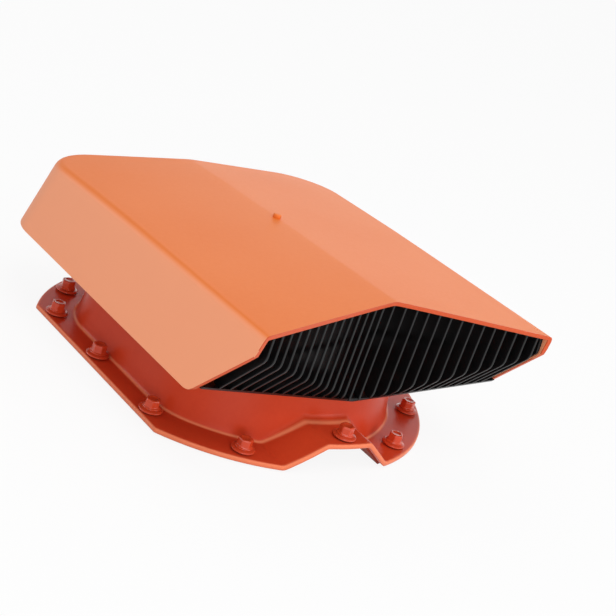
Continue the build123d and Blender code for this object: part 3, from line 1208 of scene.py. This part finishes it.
@dataclass
class Grille:
    """The black grille: ribs that follow the swept mouth, with a bottom rail, a border and two cross bars."""

    hood: Hood
    ribs: int = 28
    pitch: float = 7.38
    rib: float = 1.5
    rib_round: float = 0.45
    depth: float = 11.0
    centre: float = -108.5
    sweep: float = -30.5
    low: float = 39.2
    low_rise: float = 10.8
    bend_rise: float = 46.5
    bend_round: float = 9.0
    rail: float = 2.0
    border: float = 1.8
    border_back: float = 3.0
    bar: float = 2.2
    bar_height: float = 2.4
    bars: tuple[float, ...] = (58.87, 78.53)
    bar_gap: float = 0.3

    def face(self, x: float) -> float:
        """Returns how far forward the ribs' upright face stands at a place across."""
        return self.centre + self.sweep * abs(x) / self.hood.half

    def foot(self, x: float) -> float:
        """Returns the height of the lower edge at a place across."""
        return self.low + self.low_rise * abs(x) / self.hood.half

    def bend(self, x: float) -> float:
        """Returns the height where the ribs bend back at a place across."""
        return self.low + self.bend_rise * abs(x) / self.hood.half

    def _fillet(self, board: Board, line: bpy.types.NodeSocket, radius: Wire, steps: int) -> bpy.types.Node:
        """Rounds a curve's corners in straight steps.

        Args:
            board: The board.
            line: The curve.
            radius: The rounding's radius.
            steps: Points on each rounding.

        Returns:
            The node.
        """
        values = {"Curve": line, "Radius": radius, "Limit Radius": True, "Count": steps}
        return board.node("GeometryNodeFilletCurve", values, mode="POLY")

    def tree(self, sizes: Sequence[str]) -> bpy.types.NodeTree:
        """Builds the node group of the ribs.

        Each column of a grid with three rows becomes one rib: its first row goes to the roof, its middle row
        to the bend and its last row to the lower edge. Then the bend is rounded and a section follows it.

        Args:
            sizes: The names of its inputs in millimetres.

        Returns:
            The group.
        """
        tree, board, given = start_group("ribs", {**dict.fromkeys(sizes, "Float"), "Count": "Int"})
        span = given["Pitch"] * (given["Count"] - 1)
        grid = board.node(
            "GeometryNodeMeshGrid",
            {"Size X": span, "Size Y": 2.0, "Vertices X": given["Count"], "Vertices Y": 3},
        )
        ends = board.node("GeometryNodeInputMeshEdgeVertices").outputs
        parts = [board.node("ShaderNodeSeparateXYZ", {0: ends[f"Position {k}"]}).outputs["X"] for k in (1, 2)]
        gap = board.maths(Maths.ABSOLUTE, board.wire(parts[0]) - board.wire(parts[1]))
        cross = board.maths(Maths.GREATER, gap, given["Pitch"] / 2)
        kept = board.node(
            "GeometryNodeDeleteGeometry",
            {"Geometry": grid.outputs["Mesh"], "Selection": cross},
            domain="EDGE",
            mode="EDGE_FACE",
        )
        lines = board.node("GeometryNodeMeshToCurve", {"Mesh": kept.outputs[0]})
        place = board.node("ShaderNodeSeparateXYZ", {0: board.node("GeometryNodeInputPosition").outputs[0]})
        across, row = board.wire(place.outputs["X"]), board.wire(place.outputs["Y"])
        away = board.maths(Maths.ABSOLUTE, across) / given["Half"]
        top = board.maths(Maths.GREATER, -0.5, row)
        bottom = board.maths(Maths.GREATER, row, 0.5)
        front = given["Centre"] + given["Sweep"] * away * (1 - bottom)
        roof = given["Roof"] - given["Roof Fall"] * away
        bend = given["Low"] + given["Bend Rise"] * away
        foot = given["Low"] + given["Low Rise"] * away
        height = top * roof + bottom * foot + (1 - top - bottom) * bend
        spot = board.node("ShaderNodeCombineXYZ", {"X": across, "Y": front, "Z": height})
        places = {"Geometry": lines.outputs[0], "Position": spot.outputs[0]}
        moved = board.node("GeometryNodeSetPosition", places)
        soft = self._fillet(board, moved.outputs[0], given["Bend Round"], 8)
        outline = board.node(
            "GeometryNodeCurvePrimitiveQuadrilateral",
            {"Width": given["Width"], "Height": given["Depth"]},
            mode="RECTANGLE",
        )
        edged = self._fillet(board, outline.outputs[0], given["Edge Round"], 3)
        shift = board.node("ShaderNodeCombineXYZ", {"Y": given["Depth"] * -0.5})
        places = {"Geometry": edged.outputs[0], "Offset": shift.outputs[0]}
        section = board.node("GeometryNodeSetPosition", places)
        upright = board.node("GeometryNodeSetCurveNormal", {"Curve": soft.outputs[0]}, mode="Z_UP")
        swept = board.node(
            "GeometryNodeCurveToMesh",
            {"Curve": upright.outputs[0], "Profile Curve": section.outputs[0], "Fill Caps": True},
        )
        flat = board.node("GeometryNodeSetShadeSmooth", {"Geometry": swept.outputs[0], "Shade Smooth": False})
        close_group(board, flat.outputs[0], BLACK_PLASTIC)
        return tree

    def ribs_piece(self) -> bpy.types.Object:
        """Builds all the ribs as one plain object."""
        hood = self.hood
        front_top = hood.roof(0.0, self.centre, hood.wall)
        side_top = hood.roof(hood.half, self.face(hood.half), hood.wall)
        sizes = {
            "Half": hood.half,
            "Pitch": self.pitch,
            "Width": self.rib,
            "Depth": self.depth,
            "Centre": self.centre,
            "Sweep": self.sweep,
            "Low": self.low,
            "Low Rise": self.low_rise,
            "Bend Rise": self.bend_rise,
            "Bend Round": self.bend_round,
            "Roof": front_top,
            "Roof Fall": front_top - side_top,
            "Edge Round": self.rib_round,
        }
        made = stand("grille_ribs", bpy.data.meshes.new("grille_ribs"))
        run_group(made, self.tree(list(sizes)), {**sizes, "Count": self.ribs})
        for vertex in made.data.vertices:
            vertex.co = vertex.co * MM
        return made

    def strip(self, form: Mesher, xs: Sequence[float], section: Callable[[float], Line]) -> None:
        """Adds a closed bar that crosses the mouth.

        Args:
            form: The mesher that it goes into.
            xs: The places across where its section stands.
            section: Gives the bar's section at a place across, as a closed line.
        """
        lines = [section(x) for x in xs]
        form.sheet(lines, loop=True)
        for line in (lines[0], lines[-1]):
            first = len(form.points)
            form.points.extend(line)
            form.marks.extend([0.0] * len(line))
            form.faces.append(tuple(range(first, first + len(line))))

    def front(self, x: float, z: float) -> float:
        """Finds the ribs' front, which runs back to the middle rib's below the bend.

        Args:
            x: The place across.
            z: The height.

        Returns:
            How far forward it stands.
        """
        run = self.bend(x) - self.foot(x)
        rise = min(max((self.bend(x) - z) / max(run, 0.001), 0.0), 1.0)
        return self.face(x) + (self.centre - self.face(x)) * rise

    def rail_section(self, x: float) -> Line:
        """Returns the bottom rail's section at a place across."""
        low = self.foot(x)
        rake = (self.bend(x) - low) / max(self.centre - self.face(x), 0.001)
        lean = min(self.rail / max(rake, 0.8), self.rail)
        front = self.centre
        return [
            (x, front, low),
            (x, front - lean * min(abs(x) / 12.0, 1.0), low + self.rail),
            (x, front + self.depth, low + self.rail),
            (x, front + self.depth, low),
        ]

    def bar_section(self, level: float) -> Callable[[float], Line]:
        """Returns a function that gives a cross bar's section at a place across."""

        def section(x: float) -> Line:
            """Returns the bar's section at a place across."""
            back = self.front(x, level) + self.depth - self.bar_gap
            half = self.bar_height / 2
            corners = ((-self.bar, -half), (-self.bar, half), (0.0, half), (0.0, -half))
            return [(x, back + y, level + z) for y, z in corners]

        return section

    def side_x(self, z: float, inset: float) -> float:
        """Returns how far across the hood's inner wall stands at a height, drawn in by an inset."""
        hood = self.hood
        lean = hood.flare / (hood.front_top - hood.low)
        return hood.half + hood.flare - lean * (z - hood.low) - (hood.wall + inset) * math.hypot(1, lean)

    def border_piece(self, form: Mesher) -> None:
        """Adds the border along the hood's roof and down its two walls."""
        hood = self.hood

        def under_roof(x: float) -> Line:
            """Returns the section of the border's stretch under the roof."""
            front = self.face(x) + self.border_back
            back = self.face(x) + self.depth
            corners = ((front, 0.0), (back, 0.0), (back, self.border), (front, self.border))
            return [(x, y, hood.roof(x, y, hood.wall + drop)) for y, drop in corners]

        def beside_wall(side: float) -> Callable[[float], Line]:
            """Returns a function that gives the section at one wall for a height."""

            def section(z: float) -> Line:
                """Returns the section of the border's stretch beside a wall."""
                outer, inner = side * self.side_x(z, 0.0), side * self.side_x(z, self.border)
                near, far = self.border_back, self.depth
                corners = ((outer, near), (outer, far), (inner, far), (inner, near))
                return [(x, self.front(x, z) + reach, z) for x, reach in corners]

            return section

        edge = self.side_x(hood.front_top - hood.wall, 0.0)
        self.strip(form, [edge * (k / 12 - 1) for k in range(25)], under_roof)
        low, bend, top = self.foot(edge), self.bend(edge), hood.roof(edge, self.face(edge), hood.wall)
        heights = [low + (bend - low) * k / 8 for k in range(9)]
        heights += [bend + (top - bend) * k / 4 for k in range(1, 5)]
        for side in (-1.0, 1.0):
            self.strip(form, heights, beside_wall(side))

    def build(self) -> None:
        """Builds the grille and puts it in place of its node."""
        form = Mesher()
        edge = self.side_x(self.foot(self.hood.half) + self.rail, 0.0)
        self.strip(form, [edge * (k / 20 - 1) for k in range(41)], self.rail_section)
        for level in self.bars:
            reach = self.side_x(level, 0.0)
            self.strip(form, [reach * (k / 16 - 1) for k in range(33)], self.bar_section(level))
        self.border_piece(form)
        frame_piece = form.thing("grille_frame")
        for face in frame_piece.data.polygons:
            face.use_smooth = False
        ribs = self.ribs_piece()
        join(ribs, frame_piece)
        ribs.name = "grille_insert"
        settle(ribs, BLACK_PLASTIC, "grille", "grille")


@dataclass
class Studio:
    """The camera, the lamps, the floor and the white surround."""

    focal_px: float = 1478.0
    image_px: float = 616.0
    sensor_mm: float = 36.0
    azimuth: float = -44.05
    elevation: float = 20.42
    roll: float = 19.70
    shift_x: float = -47.67
    shift_y: float = 32.97
    distance: float = 923.8
    flange_top: float = 4.2
    surround: float = 0.7
    floor_edge: float = 6.0
    floor_white: float = 0.9
    aim: Point = (0.0, 0.0, 0.05)

    def camera(self) -> None:
        """Builds the camera at the photograph's place and makes it the scene's own."""
        a, e, r = (math.radians(v) for v in (self.azimuth, self.elevation, self.roll))
        back = Vector((math.sin(a) * math.cos(e), -math.cos(a) * math.cos(e), math.sin(e)))
        flat = Vector((math.cos(a), math.sin(a), 0.0))
        lift = Vector((-math.sin(a) * math.sin(e), math.cos(a) * math.sin(e), math.cos(e)))
        right = flat * math.cos(r) + lift * math.sin(r)
        down = flat * math.sin(r) - lift * math.cos(r)
        eye = -(right * self.shift_x + down * self.shift_y - back * self.distance)
        eye.z += self.flange_top
        data = bpy.data.cameras.new("camera")
        data.sensor_width = self.sensor_mm
        data.lens = self.sensor_mm * self.focal_px / self.image_px
        data.clip_start = 0.01
        data.clip_end = 50.0
        thing = stand("camera", data)
        turn = Matrix((right, -down, back)).transposed().to_4x4()
        thing.matrix_world = Matrix.Translation(eye * MM) @ turn
        bpy.context.scene.camera = thing

    def lamp(self, name: str, place: Point, size: float, watts: float, card: bool = False) -> None:
        """Adds one soft square lamp that points at the object's middle.

        Args:
            name: The lamp's name.
            place: Where it hangs, in metres.
            size: Its width, in metres.
            watts: Its power.
            card: Whether it is a bright card that shows only as a gloss on the object.
        """
        data = bpy.data.lights.new(name, "AREA")
        data.size = size
        data.energy = watts
        thing = stand(name, data)
        way = Vector(self.aim) - Vector(place)
        thing.matrix_world = Matrix.Translation(place) @ way.to_track_quat("-Z", "Y").to_matrix().to_4x4()
        thing.visible_diffuse = not card

    def world(self) -> None:
        """Builds a world that is white to the camera and lights the object softly."""
        world = bpy.data.worlds.new("surround")
        board = wired(world)
        path = board.node("ShaderNodeLightPath")
        seen = board.maths(Maths.MAXIMUM, path.outputs["Is Camera Ray"], path.outputs["Is Transmission Ray"])
        seen = board.maths(Maths.MAXIMUM, seen, path.outputs["Is Glossy Ray"])
        level = seen * (1.0 - self.surround) + self.surround
        glow = board.node("ShaderNodeBackground", {"Color": (1, 1, 1, 1), "Strength": level})
        board.node("ShaderNodeOutputWorld", {"Surface": glow.outputs[0]})
        bpy.context.scene.world = world

    def floor(self) -> None:
        """Lays a pale floor that is near white for the camera and keeps a soft shadow."""
        mesh = bpy.data.meshes.new("floor")
        edge = self.floor_edge
        corners = [(-edge, -edge, 0), (edge, -edge, 0), (edge, edge, 0), (-edge, edge, 0)]
        mesh.from_pydata(corners, [], [(0, 1, 2, 3)])
        thing = stand("floor", mesh)
        material = bpy.data.materials.new("pale_floor")
        board = wired(material)
        path = board.node("ShaderNodeLightPath")
        seen = board.maths(Maths.MAXIMUM, path.outputs["Is Camera Ray"], path.outputs["Is Glossy Ray"])
        matte = board.node("ShaderNodeBsdfDiffuse", {"Color": (0.8, 0.8, 0.8, 1)})
        glow = board.node("ShaderNodeEmission", {"Color": (1, 1, 1, 1), "Strength": 1.0})
        white = seen * self.floor_white
        mix = board.node("ShaderNodeMixShader", {0: white, 1: matte.outputs[0], 2: glow.outputs[0]})
        board.node("ShaderNodeOutputMaterial", {"Surface": mix.outputs[0]})
        mesh.materials.append(material)

    def build(self) -> None:
        """Sets up the whole studio."""
        self.camera()
        self.world()
        self.lamp("key", (-0.3, -0.8, 1.5), 0.9, 9.0)
        self.lamp("front", (0.8, -1.4, 0.15), 0.9, 10.5)
        self.lamp("low_left", (-0.8, -1.3, 0.12), 0.7, 7.0)
        self.lamp("left_card", (-1.3, 1.2, 0.0), 1.2, 16.0, card=True)
        self.lamp("right_card", (1.5, 1.3, 0.15), 1.2, 6.0, card=True)
        self.floor()
        bpy.context.scene.view_settings.view_transform = "Standard"
        log.info("studio built")


def main() -> None:
    """Builds the studio and every piece."""
    logging.basicConfig(level=logging.INFO, format="%(message)s")
    Studio().build()
    hood = Hood()
    hood.build()
    Base().build()
    Grille(hood).build()
    RoofingScrews().build()
    for node, finish in (("gasket", FOAM_RUBBER), ("hood_screws", BRIGHT_STEEL)):
        finish.dress(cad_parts[node])
        log.info("%s dressed", node)


if __name__ == "__main__":
    main()
